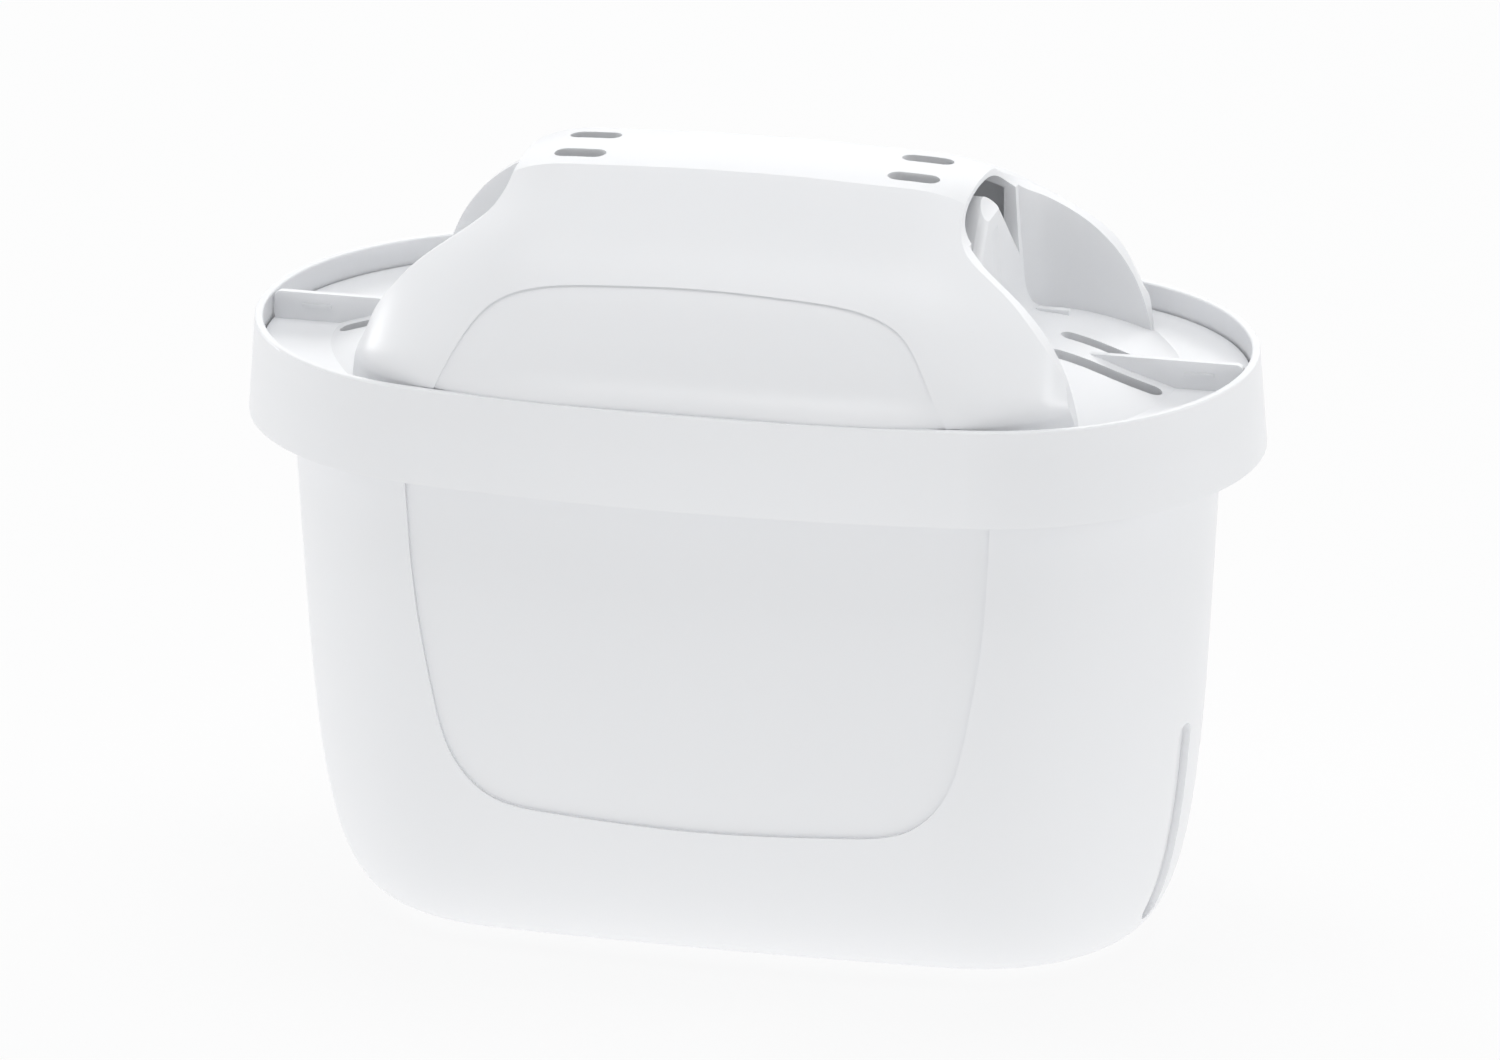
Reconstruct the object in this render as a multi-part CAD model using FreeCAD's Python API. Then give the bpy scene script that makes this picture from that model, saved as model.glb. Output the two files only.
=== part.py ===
import FreeCAD, Part
import math
import os

os.makedirs("parts", exist_ok=True)

# Water pitcher filter cartridge, real size in millimetres.
# The bottom centre is the origin, X is the long way, Y the short way and Z is up.

# Shell thicknesses and fits
wall = 1.3
lid_wall = 1.2
fit_gap = 0.25

# Collar, the band round the top that hangs in the funnel of the pitcher
collar_half_length = 53.0
collar_half_width = 29.3
collar_end_share = 0.9386
collar_end_radius = collar_half_width * collar_end_share
collar_top = 63.4
collar_height = 10.05
collar_flare = 0.77
collar_wall = 0.9
collar_rounding = 0.2
web_thickness = 1.4
web_drop = 4.2
web_top = collar_top - web_drop

# Body, the tapered cup below the collar
body_half_length = 49.6
body_half_width = 26.6
body_end_share = 0.962
body_taper_length = 0.054
body_taper_width = 0.018
rounding_height = 40.4
rounding_length = 10.9
rounding_width = 16.2
rounding_power = 3.7
rounding_steps = (0.0, 0.135, 0.27, 0.41, 0.54, 0.67, 0.79, 0.89, 0.955, 0.988, 0.998, 1.0)
straight_steps = (1.0, 0.67, 0.34)

# Sunk panels on the two broad sides, from the middle of the lower edge up to the collar
panel_depth = 0.4
panel_foot = ((0.0, 16.7), (16.0, 17.3), (22.5, 18.6), (26.3, 22.6))
panel_outline = panel_foot + ((28.4, 29.5), (29.9, 38.0), (31.0, 53.0))

# Upright grooves on the two narrow ends
groove_depth = 0.8
groove_width = 3.1
groove_middle = 4.45
groove_bottom = 3.5
groove_top = 25.5
groove_reach = 1.5

# Outlet slots in the bottom
outlet_count = 7
outlet_pitch = 8.6
outlet_length = 5.4
outlet_width = 1.8
outlet_middle = 4.2

# Lid floor, the plate inside the collar
floor_thickness = 1.4
floor_top = web_top + floor_thickness

# Hood of the lid: a long vaulted cover with a flat band along the top
hood_half_width = 28.9
hood_plan_reach = 40.6
hood_plan_power = 3.5
band_half_width = 6.3
hood_stations = (0.0, 8.0, 16.0, 22.0, 25.5, 29.7, 33.0, 35.9, 38.6)
hood_heights = (82.4, 82.3, 82.0, 81.4, 80.0, 77.7, 75.6, 71.8, 66.5)
band_crowns = (0.3, 0.3, 0.3, 0.45, 0.9, 1.3, 1.3, 1.3, 1.3)
hood_side = ((0.34, 0.158), (0.65, 0.326), (0.872, 0.60), (0.978, 0.81))
rim_hook = ((24.8, 83.6), (24.0, 81.0), (24.5, 78.9), (27.2, 76.4))
rim_outline = rim_hook + ((31.8, 73.2), (35.7, 68.7), (37.9, 63.4), (38.5, 60.0))
hollow_end_gap = 2.4

# Arch sunk in the two broad sides of the hood
arch_depth = 0.2
arch_foot_drop = 1.0
arch_outline = ((0.0, 74.9), (10.0, 74.6), (16.5, 74.0), (21.3, 72.3), (24.6, 68.2), (27.4, 62.6))

# Bays at the two ends, between the wings of the hood and above the crowned ramps
bay_plan = ((24.0, 10.1), (25.9, 11.0), (27.6, 12.6), (29.9, 13.8), (34.4, 15.2), (39.2, 16.6))
island_top_x = 25.4
island_rounding = 1.0
island_end = ((25.55, 76.2), (25.75, 72.8), (26.0, 69.5), (26.3, 66.8))
ramp_fall = ((27.1, 65.3), (28.9, 64.9), (32.0, 64.5), (36.0, 63.5), (40.0, 62.1), (44.2, 60.8), (47.0, 59.8))
ramp_outline = island_end + ramp_fall
ramp_top = 69.5
ramp_half_length = 46.0
ramp_half_width = 17.0
ramp_crown = 0.0065
ramp_stations = (-30.0, -20.0, -13.0, -6.5, 0.0, 6.5, 13.0, 20.0, 30.0)

# Shallow upright channel in the end wall of the island
channel_width = 3.0
channel_depth = 0.35
channel_bottom = (26.05, 68.6)
channel_top = (25.55, 76.4)

# Tunnel under the top band, over the rounded roof of the inner island, and the wider gallery behind it
tunnel_half_width = 9.6
tunnel_ceiling = ((0.0, 80.8), (4.5, 80.4), (7.5, 79.4), (9.6, 77.8))
island_roof = ((0.0, 79.5), (2.0, 78.7), (3.9, 77.1), (6.5, 74.6), (9.3, 71.8), (13.5, 67.4))
island_top = island_roof[0][1]
gallery_half_length = 24.2
gallery_half_width = 13.0

# Air vents in the top band
vent_middle_x = 17.76
vent_middle_y = 3.1
vent_length = 5.5
vent_width = 2.4
vent_bottom_gap = 0.5

# Water inlet slots in the ramps and the upright fins between them
inlet_inner = 31.9
inlet_outer = 44.0
inlet_length = inlet_outer - inlet_inner
inlet_width = 2.2
inlet_middle = 3.0
inlet_wall = 1.0
fin_thickness = 0.8
fin_outer = 51.95
fin_inner = 35.4
fin_top = 63.6
fin_rounding = 0.8

# Filling and screens inside
screen_thickness = 0.6
screen_gap = 0.3
media_top = 47.0

# Room for the cutting tools, beyond the part, and the tolerance when edges are picked
far_x = 70.0
far_z = 100.0
pick = 0.01


def oval(half_length, half_width, end_radius, height):
    """A closed oval of four tangent arcs."""
    reach = half_length - end_radius
    side_radius = (reach ** 2 + half_width ** 2 - end_radius ** 2) / (2 * (half_width - end_radius))
    angle = math.atan2(side_radius - half_width, reach)
    join_x = reach + end_radius * math.cos(angle)
    join_y = end_radius * math.sin(angle)
    corners = [(join_x, -join_y), (half_length, 0), (join_x, join_y), (0, half_width)]
    corners += [(-join_x, join_y), (-half_length, 0), (-join_x, -join_y), (0, -half_width)]
    points = [FreeCAD.Vector(x, y, height) for x, y in corners]
    arcs = []
    for start in range(0, 8, 2):
        arc = Part.Arc(points[start], points[start + 1], points[(start + 2) % 8])
        arcs.append(arc.toShape())
    return Part.Wire(arcs)


def tapered_oval(inset, low, high):
    """A solid between two heights with the collar's outline, made smaller by the inset."""
    wires = []
    for height in (low, high):
        flare = collar_flare * (collar_top - height) / collar_height - inset
        half_length = collar_half_length + flare
        half_width = collar_half_width + flare
        wires.append(oval(half_length, half_width, collar_end_radius + flare, height))
    return Part.makeLoft(wires, True, True)


def body_section(inset, floor, height):
    """One outline of the body at a given height, made smaller by the inset."""
    step = min(1.0, max(0.0, (rounding_height - height) / (rounding_height - floor)))
    shrink = 1 - (1 - step ** rounding_power) ** (1 / rounding_power)
    drop = collar_top - height
    half_length = body_half_length - body_taper_length * drop - rounding_length * shrink - inset
    half_width = body_half_width - body_taper_width * drop - rounding_width * shrink - inset
    return oval(half_length, half_width, half_width * body_end_share, height)


def body_solid(inset, floor, top):
    """The tapered body, made smaller by the inset, from its floor up to a given height."""
    heights = [rounding_height + (top - rounding_height) * step for step in straight_steps]
    heights += [rounding_height - (rounding_height - floor) * step for step in rounding_steps]
    return Part.makeLoft([body_section(inset, floor, height) for height in heights], True, False)


def both_ways(outline):
    """An outline given from the middle to one side, continued to the other side."""
    return [(-x, z) for x, z in reversed(outline)] + [(x, z) for x, z in outline if x > 0]


def curve(points):
    """A smooth edge through the points."""
    spline = Part.BSplineCurve()
    spline.interpolate(points)
    return spline.toShape()


def front_prism(outline, top):
    """A block standing on the broad side: smooth lower outline, straight across at the top."""
    points = [FreeCAD.Vector(x, 0, z) for x, z in both_ways(outline)]
    right = FreeCAD.Vector(points[-1].x, 0, top)
    left = FreeCAD.Vector(points[0].x, 0, top)
    edges = [curve(points), Part.makeLine(points[-1], right)]
    edges += [Part.makeLine(right, left), Part.makeLine(left, points[0])]
    return Part.Face(Part.Wire(edges)).extrude(FreeCAD.Vector(0, -collar_half_length, 0))


def slot_prism(length, width, depth):
    """An upright slot with round ends, long way along X, centred on the origin."""
    reach = (length - width) / 2
    half = width / 2
    a = FreeCAD.Vector(-reach, half, 0)
    b = FreeCAD.Vector(reach, half, 0)
    c = FreeCAD.Vector(reach, -half, 0)
    d = FreeCAD.Vector(-reach, -half, 0)
    right = Part.Arc(b, FreeCAD.Vector(reach + half, 0, 0), c).toShape()
    left = Part.Arc(d, FreeCAD.Vector(-reach - half, 0, 0), a).toShape()
    wire = Part.Wire([Part.makeLine(a, b), right, Part.makeLine(c, d), left])
    return Part.Face(wire).extrude(FreeCAD.Vector(0, 0, depth))


def mirrored(shape, normal):
    """The same shape on the other side of the middle plane."""
    return shape.mirror(FreeCAD.Vector(0, 0, 0), normal)


along = FreeCAD.Vector(1, 0, 0)
across = FreeCAD.Vector(0, 1, 0)

# Cup: body, web and hanging collar moulded in one
collar_bottom = collar_top - collar_height
collar_inside = tapered_oval(collar_wall, collar_bottom, collar_top)
collar = tapered_oval(0, collar_bottom, collar_top).cut(collar_inside)
rim_edges = [edge for edge in collar.Edges if edge.BoundBox.ZMin > collar_top - pick]
collar = collar.makeFillet(collar_rounding, rim_edges)
web = tapered_oval(collar_wall / 2, web_top - web_thickness, web_top)
inner_body = body_solid(wall, wall, web_top)
panel_block = front_prism(panel_outline, web_top - web_thickness).cut(body_solid(panel_depth, 0, web_top))
outer_body = body_solid(0, 0, web_top).cut([panel_block, mirrored(panel_block, across)])
cup = collar.fuse([web, outer_body]).cut(inner_body)

groove_length = groove_top - groove_bottom
groove = slot_prism(groove_length, groove_width, body_half_length)
groove.rotate(FreeCAD.Vector(0, 0, 0), across, -90)
groove_height = (groove_bottom + groove_top) / 2
groove_place = FreeCAD.Vector(body_half_length * groove_reach, groove_middle, groove_height)
groove.translate(groove_place)
groove = groove.cut(body_solid(groove_depth, 0, web_top))
end_pair = [groove, mirrored(groove, across)]
grooves = end_pair + [mirrored(tool, along) for tool in end_pair]
cup = cup.cut(grooves)

outlets = []
for row in (-1, 1):
    for place in range(outlet_count):
        outlet = slot_prism(outlet_length, outlet_width, 2 * wall)
        outlet_x = (place - (outlet_count - 1) / 2) * outlet_pitch
        outlet.translate(FreeCAD.Vector(outlet_x, row * outlet_middle, -wall / 2))
        outlets.append(outlet)
cup = cup.cut(outlets)


def hood_section(x, height, band_crown, inset, drop, base):
    """One outline of the hood across the part."""
    narrowing = (abs(x) / hood_plan_reach) ** hood_plan_power
    foot = hood_half_width * (1 - narrowing) ** (1 / hood_plan_power) - inset
    edge_y = band_half_width - inset / 2
    edge_z = height - drop
    side = [(edge_y, edge_z)]
    for share_out, share_down in hood_side:
        y = edge_y + (foot - edge_y) * share_out
        side.append((y, edge_z - (edge_z - collar_top) * share_down))
    side.append((foot, collar_top))
    right = [FreeCAD.Vector(x, y, z) for y, z in side]
    left = [FreeCAD.Vector(x, -y, z) for y, z in side]
    crown = Part.Arc(left[0], FreeCAD.Vector(x, 0, edge_z + band_crown), right[0]).toShape()
    low_right = FreeCAD.Vector(x, foot, base)
    low_left = FreeCAD.Vector(x, -foot, base)
    edges = [crown, curve(right), Part.makeLine(right[-1], low_right)]
    edges += [Part.makeLine(low_right, low_left), Part.makeLine(low_left, left[-1]), curve(left[::-1])]
    return Part.Wire(edges)


def hood_solid(inset, drop, base):
    """The vaulted hood from end to end, made smaller by the inset and the drop."""
    right = list(zip(hood_stations, hood_heights, band_crowns))
    left = [(-x, z, crown) for x, z, crown in reversed(right[1:])]
    sections = [hood_section(x, z, crown, inset, drop, base) for x, z, crown in left + right]
    return Part.makeLoft(sections, True, False)


def side_outline(points, y, drop):
    """An outline seen from the broad side: smooth along the points, then round by the far corner."""
    vectors = [FreeCAD.Vector(x, y, z - drop) for x, z in points]
    top = FreeCAD.Vector(vectors[0].x, y, far_z)
    corner = FreeCAD.Vector(far_x, y, far_z)
    low = FreeCAD.Vector(far_x, y, vectors[-1].z)
    edges = [curve(vectors), Part.makeLine(vectors[-1], low), Part.makeLine(low, corner)]
    edges += [Part.makeLine(corner, top), Part.makeLine(top, vectors[0])]
    return Part.Wire(edges)


def above_ramp(margin):
    """All the room above the island's end and the ramp, which falls away to both sides."""
    points = [(island_top_x - margin, island_top)]
    points += [(x - margin, z - margin) for x, z in ramp_outline]
    outlines = [side_outline(points, y, ramp_crown * y ** 2) for y in ramp_stations]
    return Part.makeLoft(outlines, True, False)


def bay(margin):
    """The room between the two wings, above the ramp; the margin makes it larger all round."""
    right = [FreeCAD.Vector(x, y + margin, floor_top - margin) for x, y in bay_plan]
    left = [FreeCAD.Vector(v.x, -v.y, v.z) for v in right]
    edges = [Part.makeLine(left[0], right[0]), curve(right)]
    edges += [Part.makeLine(right[-1], left[-1]), curve(left[::-1])]
    plan = Part.Face(Part.Wire(edges)).extrude(FreeCAD.Vector(0, 0, far_z))
    return above_ramp(margin).common(plan)


def tunnel():
    """The mouth between the top band and the roof of the island, open at both ends."""
    start = FreeCAD.Vector(-island_top_x - wall, 0, 0)
    ceiling = [start + FreeCAD.Vector(0, y, z) for y, z in both_ways(tunnel_ceiling)]
    low_left = FreeCAD.Vector(start.x, ceiling[0].y, island_roof[-1][1])
    low_right = FreeCAD.Vector(start.x, ceiling[-1].y, island_roof[-1][1])
    edges = [curve(ceiling), Part.makeLine(ceiling[-1], low_right)]
    edges += [Part.makeLine(low_right, low_left), Part.makeLine(low_left, ceiling[0])]
    return Part.Face(Part.Wire(edges)).extrude(FreeCAD.Vector(-2 * start.x, 0, 0)).cut(under_roof(0))


def under_roof(drop):
    """The block of the island, from end to end, with its rounded roof lowered by the drop."""
    start = -island_top_x - 2 * wall
    roof = [FreeCAD.Vector(start, y, z - drop) for y, z in both_ways(island_roof)]
    low_right = FreeCAD.Vector(start, roof[-1].y, 0)
    low_left = FreeCAD.Vector(start, roof[0].y, 0)
    edges = [curve(roof), Part.makeLine(roof[-1], low_right)]
    edges += [Part.makeLine(low_right, low_left), Part.makeLine(low_left, roof[0])]
    return Part.Face(Part.Wire(edges)).extrude(FreeCAD.Vector(-2 * start, 0, 0))


def gallery(margin):
    """The wider room between the island's roof and the hood; the margin makes it larger all round."""
    half_length = gallery_half_length + margin
    half_width = gallery_half_width + margin
    corner = FreeCAD.Vector(-half_length, -half_width, island_roof[-1][1] - margin)
    return Part.makeBox(2 * half_length, 2 * half_width, far_z, corner).cut(under_roof(margin))


# Lid: floor plate, hood with its wings, ramps and fins moulded in one
floor_plate = tapered_oval(collar_wall + fit_gap, web_top, floor_top)
hood = hood_solid(0, 0, web_top)
rim_face = Part.Face(side_outline(rim_outline, -collar_half_length, 0))
rim_block = rim_face.extrude(FreeCAD.Vector(0, 2 * collar_half_length, 0))
foot_x = rim_outline[-1][0]
low_corner = FreeCAD.Vector(foot_x, -collar_half_length, 0)
low_block = Part.makeBox(far_x, 2 * collar_half_length, rim_outline[-1][1], low_corner)
hood = hood.cut([rim_block, mirrored(rim_block, along), low_block, mirrored(low_block, along)])
inside_collar = tapered_oval(collar_wall + fit_gap, web_top, collar_top)
above_collar = Part.makeBox(2 * far_x, 2 * far_x, far_z, FreeCAD.Vector(-far_x, -far_x, collar_top))
hood = hood.common(inside_collar.fuse(above_collar))

arch_block = front_prism(arch_outline, collar_top - arch_foot_drop)
arch_block = arch_block.cut(hood_solid(arch_depth, arch_depth, web_top))
hood = hood.cut([arch_block, mirrored(arch_block, across)])

ramp_room = above_ramp(0)
ramp_corner = FreeCAD.Vector(0, -ramp_half_width, web_top)
ramp = Part.makeBox(ramp_half_length, 2 * ramp_half_width, ramp_top - web_top, ramp_corner).cut(ramp_room)
ramps = [ramp, mirrored(ramp, along)]

# The bays and the tunnel are cut as one tool, so that the nose of the island comes out rounded.
bay_right = bay(0)
opening = tunnel().fuse([bay_right, mirrored(bay_right, along)])
nose_edges = []
for edge in opening.Edges:
    box = edge.BoundBox
    at_end = box.XLength < wall and abs(abs(edge.CenterOfMass.x) - island_top_x) < wall
    slanted = box.YLength > wall and box.ZLength > wall
    on_roof = box.ZMax < island_top + pick and edge.CenterOfMass.z > ramp_top
    if at_end and slanted and on_roof:
        nose_edges.append(edge)
opening = opening.makeFillet(island_rounding, nose_edges)

hood_inside = hood_solid(wall + lid_wall, lid_wall, web_top - wall)
room = hood_inside.common(gallery(0))

channel_radius = (channel_width ** 2 / 4 + channel_depth ** 2) / (2 * channel_depth)
channel_shift = channel_radius - channel_depth
channel_start = FreeCAD.Vector(channel_bottom[0] + channel_shift, 0, channel_bottom[1])
channel_end = FreeCAD.Vector(channel_top[0] + channel_shift, 0, channel_top[1])
channel_way = channel_end - channel_start
channel = Part.makeCylinder(channel_radius, channel_way.Length, channel_start, channel_way)

lid = hood.fuse([floor_plate] + ramps)
lid = lid.cut([opening, room, channel, mirrored(channel, along)])

fat_bay = bay(lid_wall)
hollow_half_length = foot_x - hollow_end_gap
hollow_corner = FreeCAD.Vector(-hollow_half_length, -far_x, 0)
hollow = hood_inside.common(Part.makeBox(2 * hollow_half_length, 2 * far_x, far_z, hollow_corner))
hollow = hollow.cut([fat_bay, mirrored(fat_bay, along), gallery(lid_wall)])
lid = lid.cut(hollow)

ribs = []
slots = []
for side in (-1, 1):
    for end in (-1, 1):
        middle = end * (inlet_inner + inlet_outer) / 2
        rib_width = inlet_width + 2 * inlet_wall
        rib = slot_prism(inlet_length + 2 * inlet_wall, rib_width, island_top - web_top)
        rib.translate(FreeCAD.Vector(middle, side * inlet_middle, web_top))
        ribs.append(rib.cut([ramp_room, mirrored(ramp_room, along)]))
        slot = slot_prism(inlet_length, inlet_width, far_z)
        slot.translate(FreeCAD.Vector(middle, side * inlet_middle, 0))
        slots.append(slot)
lid = lid.fuse(ribs).cut(slots)

fins = []
for end in (-1, 1):
    low = FreeCAD.Vector(min(end * fin_inner, end * fin_outer), -fin_thickness / 2, web_top)
    fin = Part.makeBox(fin_outer - fin_inner, fin_thickness, fin_top - web_top, low)
    corner = FreeCAD.Vector(end * fin_outer, 0, fin_top)
    corner_edges = [edge for edge in fin.Edges if edge.CenterOfMass.distanceToPoint(corner) < pick]
    fins.append(fin.makeFillet(fin_rounding, corner_edges))
lid = lid.fuse(fins)

vents = []
for side in (-1, 1):
    for end in (-1, 1):
        vent = slot_prism(vent_length, vent_width, far_z)
        vent_height = island_top + vent_bottom_gap
        vent.translate(FreeCAD.Vector(end * vent_middle_x, side * vent_middle_y, vent_height))
        vents.append(vent)
lid = lid.cut(vents)

# Inlet screen, a fine mesh under the inlet slots, resting against the underside of the lid
screen_inset = wall + screen_gap
screen_drop = collar_top - web_top
screen_half_length = body_half_length - body_taper_length * screen_drop - screen_inset
screen_half_width = body_half_width - body_taper_width * screen_drop - screen_inset
screen_outline = oval(screen_half_length, screen_half_width, screen_half_width * body_end_share, web_top)
inlet_screen = Part.Face(screen_outline).extrude(FreeCAD.Vector(0, 0, -screen_thickness))

# Outlet screen, a fine mesh over the outlet slots, on the inside of the bottom
bottom_outline = body_section(wall + screen_gap, wall, wall)
outlet_screen = Part.Face(bottom_outline).extrude(FreeCAD.Vector(0, 0, screen_thickness))

# Filter media, the bed of granules between the two screens
filter_media = body_solid(wall, wall, media_top).cut(outlet_screen)

cup.exportStep("parts/cup.step")
lid.exportStep("parts/lid.step")
inlet_screen.exportStep("parts/inlet_screen.step")
outlet_screen.exportStep("parts/outlet_screen.step")
filter_media.exportStep("parts/filter_media.step")
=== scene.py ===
from math import pi
import bmesh
import bpy
from mathutils import Matrix, Vector


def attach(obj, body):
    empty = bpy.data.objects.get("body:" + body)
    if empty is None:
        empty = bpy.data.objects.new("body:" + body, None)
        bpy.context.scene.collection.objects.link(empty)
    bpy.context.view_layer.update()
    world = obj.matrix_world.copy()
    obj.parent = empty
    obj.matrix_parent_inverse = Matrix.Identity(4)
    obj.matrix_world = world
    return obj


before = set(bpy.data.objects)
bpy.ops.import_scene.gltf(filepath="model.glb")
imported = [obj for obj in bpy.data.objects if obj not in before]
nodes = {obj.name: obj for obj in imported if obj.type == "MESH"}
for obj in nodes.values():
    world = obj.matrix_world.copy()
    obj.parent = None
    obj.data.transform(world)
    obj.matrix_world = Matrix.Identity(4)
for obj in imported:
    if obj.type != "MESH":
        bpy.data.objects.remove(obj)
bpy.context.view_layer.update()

# Cup: the tapered oval body with its hanging collar, one injection moulding in white polypropylene.
# The mould is finely spark eroded, so the skin is satin, with faint flow marks and no gloss paint.
HOUSING_WHITE = (0.865, 0.873, 0.888, 1.0)
HOUSING_SHADE = (0.845, 0.853, 0.87, 1.0)
HOUSING_ROUGHNESS = 0.36
GLOSSIER_BY = 0.05
DULLER_BY = 0.06
FLOW_MARK_SCALE = 26.0
FLOW_MARK_DETAIL = 3.0
FLOW_MARK_SWIRL = 0.6
SKIN_GRAIN_SCALE = 5200.0
SKIN_GRAIN_DETAIL = 2.0
SKIN_GRAIN_STRENGTH = 0.12
SKIN_GRAIN_DEPTH = 0.00002
GLOW_WEIGHT = 0.12
GLOW_COLOUR_REACH = (1.0, 0.95, 0.9)
GLOW_DEPTH = 0.0012
POLYPROPYLENE_IOR = 1.49


def satin_polypropylene(name):
    """Satin white moulded plastic: fine grain in the skin and slow, faint changes of tone and gloss."""
    material = bpy.data.materials.new(name)
    material.use_nodes = True
    tree = material.node_tree
    shader = tree.nodes["Principled BSDF"]
    place = tree.nodes.new("ShaderNodeTexCoord")

    flow = tree.nodes.new("ShaderNodeTexNoise")
    flow.inputs["Scale"].default_value = FLOW_MARK_SCALE
    flow.inputs["Detail"].default_value = FLOW_MARK_DETAIL
    flow.inputs["Distortion"].default_value = FLOW_MARK_SWIRL
    tree.links.new(place.outputs["Object"], flow.inputs["Vector"])

    tone = tree.nodes.new("ShaderNodeMix")
    tone.data_type = "RGBA"
    tone.inputs["A"].default_value = HOUSING_SHADE
    tone.inputs["B"].default_value = HOUSING_WHITE
    tree.links.new(flow.outputs["Fac"], tone.inputs["Factor"])
    tree.links.new(tone.outputs["Result"], shader.inputs["Base Color"])

    gloss = tree.nodes.new("ShaderNodeMapRange")
    gloss.inputs["To Min"].default_value = HOUSING_ROUGHNESS - GLOSSIER_BY
    gloss.inputs["To Max"].default_value = HOUSING_ROUGHNESS + DULLER_BY
    tree.links.new(flow.outputs["Fac"], gloss.inputs["Value"])
    tree.links.new(gloss.outputs["Result"], shader.inputs["Roughness"])

    grain = tree.nodes.new("ShaderNodeTexNoise")
    grain.inputs["Scale"].default_value = SKIN_GRAIN_SCALE
    grain.inputs["Detail"].default_value = SKIN_GRAIN_DETAIL
    tree.links.new(place.outputs["Object"], grain.inputs["Vector"])
    relief = tree.nodes.new("ShaderNodeBump")
    relief.inputs["Strength"].default_value = SKIN_GRAIN_STRENGTH
    relief.inputs["Distance"].default_value = SKIN_GRAIN_DEPTH
    tree.links.new(grain.outputs["Fac"], relief.inputs["Height"])
    tree.links.new(relief.outputs["Normal"], shader.inputs["Normal"])

    shader.inputs["Subsurface Weight"].default_value = GLOW_WEIGHT
    shader.inputs["Subsurface Radius"].default_value = GLOW_COLOUR_REACH
    shader.inputs["Subsurface Scale"].default_value = GLOW_DEPTH
    shader.inputs["IOR"].default_value = POLYPROPYLENE_IOR
    return material


def finish_node(name, material):
    """Gives a node of the frame its material."""
    node = nodes[name]
    node.data.materials.clear()
    node.data.materials.append(material)


cup_plastic = satin_polypropylene("cup_plastic")
finish_node("cup", cup_plastic)

# Outlet screen: a fine woven polyester mesh, cut from a roll and heat staked inside the bottom.
# The threads are grey. The openings between them are painted near black, partly for the dark granules
# behind and partly as painted shade of the space behind the mesh.
THREAD_GREY = (0.16, 0.16, 0.165, 1.0)
OPENING_GRANULES_AND_SHADE = (0.03, 0.03, 0.032, 1.0)
THREAD_PITCH = 0.0005
THREAD_RELIEF = THREAD_PITCH / 3
THREAD_RELIEF_STRENGTH = 0.8
THREAD_ROUGHNESS = 0.7
OPENING_ENDS_AT = 0.80
THREAD_STARTS_AT = 0.93


def woven_screen(name):
    """A plain weave of round threads, with the openings painted near black as granules and painted
    shade seen through them.
    """
    material = bpy.data.materials.new(name)
    material.use_nodes = True
    tree = material.node_tree
    shader = tree.nodes["Principled BSDF"]
    place = tree.nodes.new("ShaderNodeTexCoord")
    split = tree.nodes.new("ShaderNodeSeparateXYZ")
    tree.links.new(place.outputs["Object"], split.inputs["Vector"])
    heights = []
    for axis in ("X", "Y"):
        turns = tree.nodes.new("ShaderNodeMath")
        turns.operation = "MULTIPLY"
        turns.inputs[1].default_value = pi / THREAD_PITCH
        tree.links.new(split.outputs[axis], turns.inputs[0])
        wave = tree.nodes.new("ShaderNodeMath")
        wave.operation = "SINE"
        tree.links.new(turns.outputs["Value"], wave.inputs[0])
        size = tree.nodes.new("ShaderNodeMath")
        size.operation = "ABSOLUTE"
        tree.links.new(wave.outputs["Value"], size.inputs[0])
        heights.append(size)
    thread = tree.nodes.new("ShaderNodeMath")
    thread.operation = "MAXIMUM"
    tree.links.new(heights[0].outputs["Value"], thread.inputs[0])
    tree.links.new(heights[1].outputs["Value"], thread.inputs[1])
    # Openings: painted shade together with the dark granules, where one would see through the mesh.
    tone = tree.nodes.new("ShaderNodeValToRGB")
    tone.color_ramp.elements[0].position = OPENING_ENDS_AT
    tone.color_ramp.elements[0].color = OPENING_GRANULES_AND_SHADE
    tone.color_ramp.elements[1].position = THREAD_STARTS_AT
    tone.color_ramp.elements[1].color = THREAD_GREY
    tree.links.new(thread.outputs["Value"], tone.inputs["Fac"])
    tree.links.new(tone.outputs["Color"], shader.inputs["Base Color"])
    relief = tree.nodes.new("ShaderNodeBump")
    relief.inputs["Strength"].default_value = THREAD_RELIEF_STRENGTH
    relief.inputs["Distance"].default_value = THREAD_RELIEF
    tree.links.new(thread.outputs["Value"], relief.inputs["Height"])
    tree.links.new(relief.outputs["Normal"], shader.inputs["Normal"])
    shader.inputs["Roughness"].default_value = THREAD_ROUGHNESS
    return material


outlet_weave = woven_screen("outlet_weave")
finish_node("outlet_screen", outlet_weave)

# Filter media: a loose bed of dark carbon and pale amber resin beads, about 0.8 mm across.
# It is poured into the cup and levelled before the lid goes on.
CARBON = (0.02, 0.02, 0.021, 1.0)
RESIN = (0.35, 0.27, 0.16, 1.0)
BEAD_SCALE = 1250.0
BEAD_RELIEF = 0.0003
BEAD_ROUGHNESS = 0.55
CARBON_SHARE = 0.6

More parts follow.
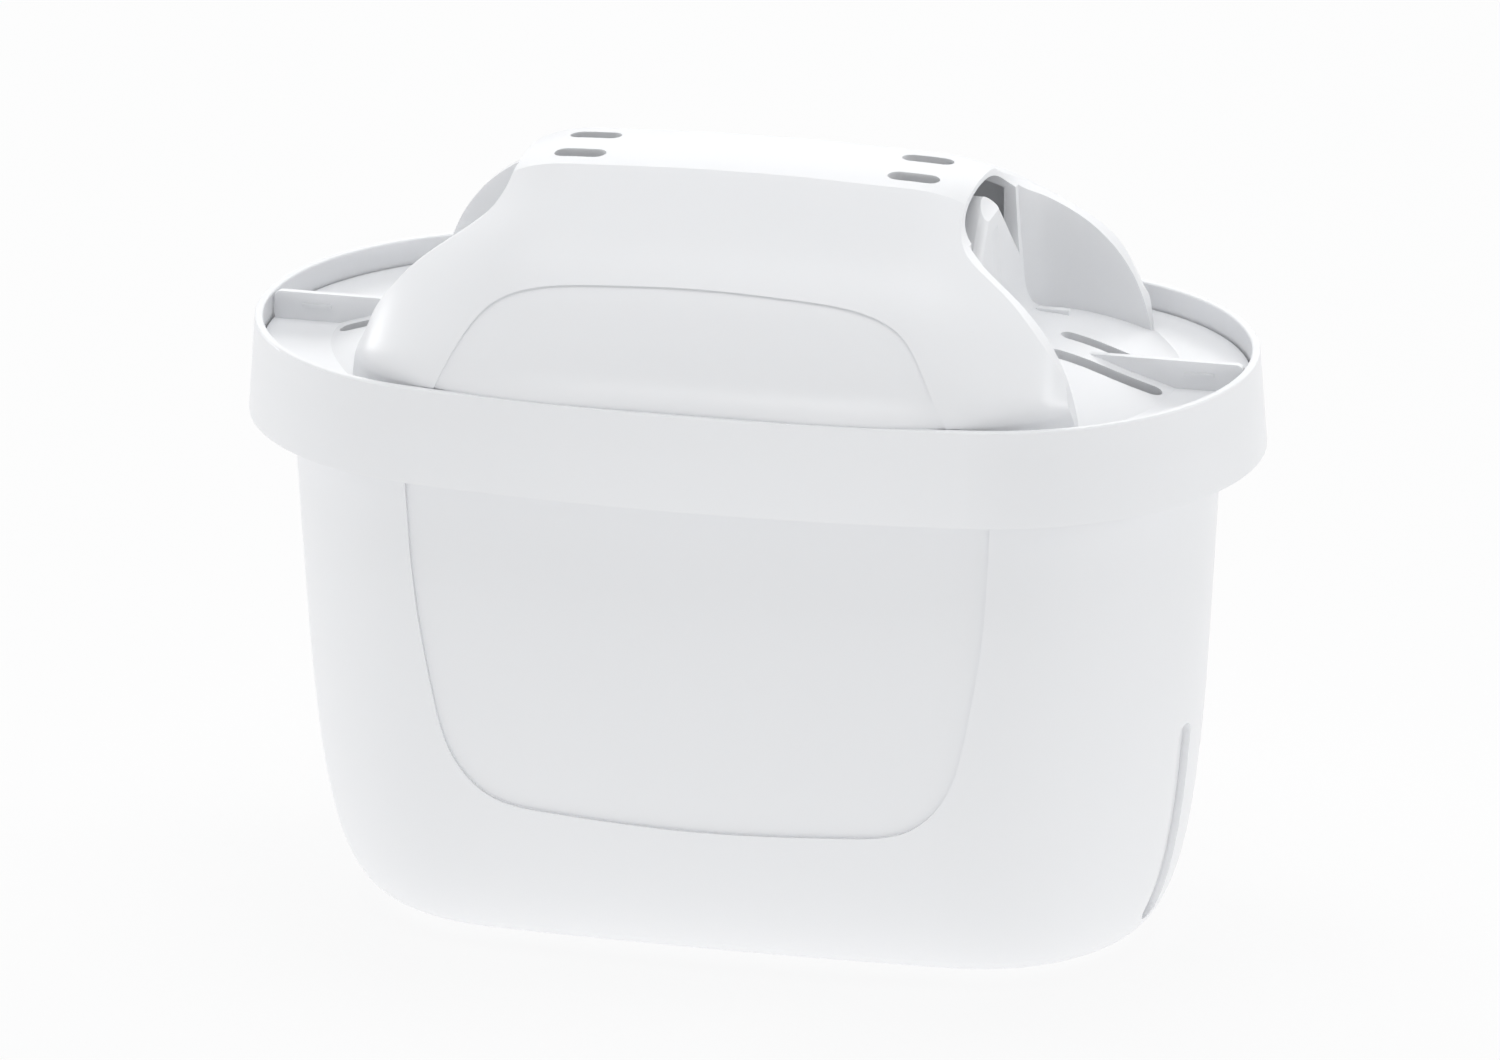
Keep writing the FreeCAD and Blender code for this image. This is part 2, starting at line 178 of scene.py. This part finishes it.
granules = bpy.data.materials.new("granules")
granules.use_nodes = True
granule_tree = granules.node_tree
granule_shader = granule_tree.nodes["Principled BSDF"]
granule_place = granule_tree.nodes.new("ShaderNodeTexCoord")
beads = granule_tree.nodes.new("ShaderNodeTexVoronoi")
beads.inputs["Scale"].default_value = BEAD_SCALE
granule_tree.links.new(granule_place.outputs["Object"], beads.inputs["Vector"])
pick = granule_tree.nodes.new("ShaderNodeValToRGB")
pick.color_ramp.interpolation = "CONSTANT"
pick.color_ramp.elements[0].color = CARBON
pick.color_ramp.elements[1].position = CARBON_SHARE
pick.color_ramp.elements[1].color = RESIN
granule_tree.links.new(beads.outputs["Color"], pick.inputs["Fac"])
granule_tree.links.new(pick.outputs["Color"], granule_shader.inputs["Base Color"])
bead_relief = granule_tree.nodes.new("ShaderNodeBump")
bead_relief.invert = True
bead_relief.inputs["Distance"].default_value = BEAD_RELIEF
granule_tree.links.new(beads.outputs["Distance"], bead_relief.inputs["Height"])
granule_tree.links.new(bead_relief.outputs["Normal"], granule_shader.inputs["Normal"])
granule_shader.inputs["Roughness"].default_value = BEAD_ROUGHNESS
finish_node("filter_media", granules)

# Inlet screen: the same woven mesh, welded under the lid behind the inlet slots.
# It keeps the granules in and lets water and air through.
# Its openings are painted shade here as well, which darkens the inlet slots seen from above.
inlet_weave = woven_screen("inlet_weave")
finish_node("inlet_screen", inlet_weave)

# Lid: the vaulted hood with its floor, ramps and fins, moulded in one in the cup's polypropylene.
# It is welded round its edge inside the collar, so the two never come apart.
lid_plastic = satin_polypropylene("lid_plastic")
finish_node("lid", lid_plastic)

# Mould marks: a low raised bar on each face of both fins, left by an insert in the mould.
# They are the same polypropylene as the lid and stand out by less than a fifth of a millimetre.
MARK_MIDDLE_X = 0.0473
MARK_LENGTH = 0.0032
MARK_HEIGHT = 0.0004
MARK_MIDDLE_Z = 0.06225
MARK_DEPTH = 0.0003
FIN_HALF_THICKNESS = 0.0004
MARK_ROUNDING = 0.00005


def rounded_bars(name, bars, rounding, material):
    """One piece made of small boxes with rounded edges, each given by its middle and its size."""
    shape = bmesh.new()
    for middle, size in bars:
        place = Matrix.Translation(middle) @ Matrix.Diagonal((size[0], size[1], size[2], 1.0))
        bmesh.ops.create_cube(shape, size=1.0, matrix=place)
    edges = list(shape.edges)
    bmesh.ops.bevel(shape, geom=edges, offset=rounding, offset_type="OFFSET", segments=2, profile=0.5,
                    affect="EDGES", material=-1)
    bmesh.ops.recalc_face_normals(shape, faces=shape.faces)
    mesh = bpy.data.meshes.new(name)
    shape.to_mesh(mesh)
    shape.free()
    piece = bpy.data.objects.new(name, mesh)
    bpy.context.scene.collection.objects.link(piece)
    mesh.materials.append(material)
    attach(piece, "root")
    return piece


mark_bars = []
for end in (-1, 1):
    for face in (-1, 1):
        mark_middle = (end * MARK_MIDDLE_X, face * FIN_HALF_THICKNESS, MARK_MIDDLE_Z)
        mark_bars.append((mark_middle, (MARK_LENGTH, MARK_DEPTH, MARK_HEIGHT)))
rounded_bars("mould_marks", mark_bars, MARK_ROUNDING, lid_plastic)

# Ramp stops: four short, low ribs where the ramps meet the wings, moulded with the lid.
# They keep the ramp's corner stiff and stand about a third of a millimetre above it.
STOP_MIDDLE_X = 0.0293
STOP_MIDDLE_Y = 0.0104
STOP_MIDDLE_Z = 0.0642
STOP_SIZE = (0.0036, 0.0007, 0.0008)
STOP_ROUNDING = 0.0001

stop_bars = []
for end in (-1, 1):
    for side in (-1, 1):
        stop_middle = (end * STOP_MIDDLE_X, side * STOP_MIDDLE_Y, STOP_MIDDLE_Z)
        stop_bars.append((stop_middle, STOP_SIZE))
rounded_bars("ramp_stops", stop_bars, STOP_ROUNDING, lid_plastic)

# Floor: a plain white studio sheet that glows a little near the object, as on a light table.
# The camera sees it as white with a faint shadow, and it is no part of the object.
FLOOR_WIDTH = 6.0
FLOOR_WHITE = (0.93, 0.93, 0.93, 1.0)
FLOOR_GLOW_SEEN = 0.8
FLOOR_GLOW_NEAR = 1.0
FLOOR_GLOW_FAR = 0.15
FLOOR_PATCH_INNER = 0.12
FLOOR_PATCH_OUTER = 0.3

bpy.ops.mesh.primitive_plane_add(size=FLOOR_WIDTH, location=(0.0, 0.0, 0.0))
floor = bpy.context.object
floor.name = "studio_floor"
floor_sheet = bpy.data.materials.new("floor_sheet")
floor_sheet.use_nodes = True
floor_tree = floor_sheet.node_tree
floor_tree.nodes.remove(floor_tree.nodes["Principled BSDF"])
matte = floor_tree.nodes.new("ShaderNodeBsdfDiffuse")
matte.inputs["Color"].default_value = FLOOR_WHITE
glow = floor_tree.nodes.new("ShaderNodeEmission")
rays = floor_tree.nodes.new("ShaderNodeLightPath")
share = floor_tree.nodes.new("ShaderNodeMapRange")
floor_place = floor_tree.nodes.new("ShaderNodeTexCoord")
reach = floor_tree.nodes.new("ShaderNodeVectorMath")
reach.operation = "LENGTH"
floor_tree.links.new(floor_place.outputs["Object"], reach.inputs[0])
cast = floor_tree.nodes.new("ShaderNodeMapRange")
cast.inputs["From Min"].default_value = FLOOR_PATCH_INNER
cast.inputs["From Max"].default_value = FLOOR_PATCH_OUTER
cast.inputs["To Min"].default_value = FLOOR_GLOW_NEAR
cast.inputs["To Max"].default_value = FLOOR_GLOW_FAR
floor_tree.links.new(reach.outputs["Value"], cast.inputs["Value"])
floor_tree.links.new(cast.outputs["Result"], share.inputs["To Min"])
share.inputs["To Max"].default_value = FLOOR_GLOW_SEEN
seen = floor_tree.nodes.new("ShaderNodeMath")
seen.operation = "MAXIMUM"
floor_tree.links.new(rays.outputs["Is Camera Ray"], seen.inputs[0])
floor_tree.links.new(rays.outputs["Is Glossy Ray"], seen.inputs[1])
floor_tree.links.new(seen.outputs["Value"], share.inputs["Value"])
blend = floor_tree.nodes.new("ShaderNodeMixShader")
floor_tree.links.new(share.outputs["Result"], blend.inputs["Fac"])
floor_tree.links.new(matte.outputs["BSDF"], blend.inputs[1])
floor_tree.links.new(glow.outputs["Emission"], blend.inputs[2])
floor_tree.links.new(blend.outputs["Shader"], floor_tree.nodes["Material Output"].inputs["Surface"])
floor.data.materials.append(floor_sheet)

# Light: a white room with soft boxes above, behind and low in front, and one at each end.
# The tops come out nearly white and the upright faces a cool, light grey, as in the photograph.
ROOM_STRENGTH = 0.42
ROOM_COLOUR = (0.985, 0.992, 1.0, 1.0)

room = bpy.data.worlds.new("white_room")
bpy.context.scene.world = room
room.use_nodes = True
room_tree = room.node_tree
backdrop = room_tree.nodes["Background"]
backdrop.inputs["Color"].default_value = ROOM_COLOUR
room_rays = room_tree.nodes.new("ShaderNodeLightPath")
room_level = room_tree.nodes.new("ShaderNodeMapRange")
room_level.inputs["To Min"].default_value = ROOM_STRENGTH
room_level.inputs["To Max"].default_value = 1.0
room_seen = room_tree.nodes.new("ShaderNodeMath")
room_seen.operation = "MAXIMUM"
room_tree.links.new(room_rays.outputs["Is Camera Ray"], room_seen.inputs[0])
room_tree.links.new(room_rays.outputs["Is Glossy Ray"], room_seen.inputs[1])
room_tree.links.new(room_seen.outputs["Value"], room_level.inputs["Value"])
room_tree.links.new(room_level.outputs["Result"], backdrop.inputs["Strength"])

# Each soft box has its name, its place, the point it faces, its width, its depth and its power.
SOFT_BOXES = (
    ("back_soft_box", (0.0, 1.3, 0.64), (0.0, 0.0, 0.05), 1.8, 0.5, 5.0),
    ("top_soft_box", (0.0, 0.0, 1.15), (0.0, 0.0, 0.05), 0.9, 0.9, 5.6),
    ("front_soft_box", (-0.1, -1.5, 0.12), (0.0, 0.0, 0.04), 0.7, 0.2, 3.8),
    ("left_soft_box", (-1.2, 0.35, 0.25), (0.0, 0.0, 0.04), 0.5, 0.4, 3.4),
    ("right_soft_box", (1.2, 0.35, 0.25), (0.0, 0.0, 0.04), 0.5, 0.4, 3.4),
)

for name, place, target, width, depth, power in SOFT_BOXES:
    lamp = bpy.data.lights.new(name, "AREA")
    lamp.shape = "RECTANGLE"
    lamp.size = width
    lamp.size_y = depth
    lamp.energy = power
    holder = bpy.data.objects.new(name, lamp)
    bpy.context.scene.collection.objects.link(holder)
    holder.location = place
    holder.rotation_euler = (Vector(target) - Vector(place)).to_track_quat("-Z", "Y").to_euler()

# Camera: a long lens from slightly above and a little to the right of the broad side.
CAMERA_PLACE = (0.315175, -1.188891, 0.473079)
CAMERA_RIGHT = (0.96696526, 0.25484579, -0.00564011)
CAMERA_UP = (-0.07928184, 0.32170169, 0.94351598)
CAMERA_BACK = (0.24226551, -0.91190002, 0.331279)
SENSOR_WIDTH = 36.0
LENS = 299.93

camera_data = bpy.data.cameras.new("photo_camera")
camera_data.sensor_width = SENSOR_WIDTH
camera_data.lens = LENS
camera = bpy.data.objects.new("photo_camera", camera_data)
bpy.context.scene.collection.objects.link(camera)
turn = Matrix((CAMERA_RIGHT, CAMERA_UP, CAMERA_BACK)).transposed()
camera.matrix_world = Matrix.Translation(CAMERA_PLACE) @ turn.to_4x4()
bpy.context.scene.camera = camera
bpy.context.scene.view_settings.view_transform = "Standard"
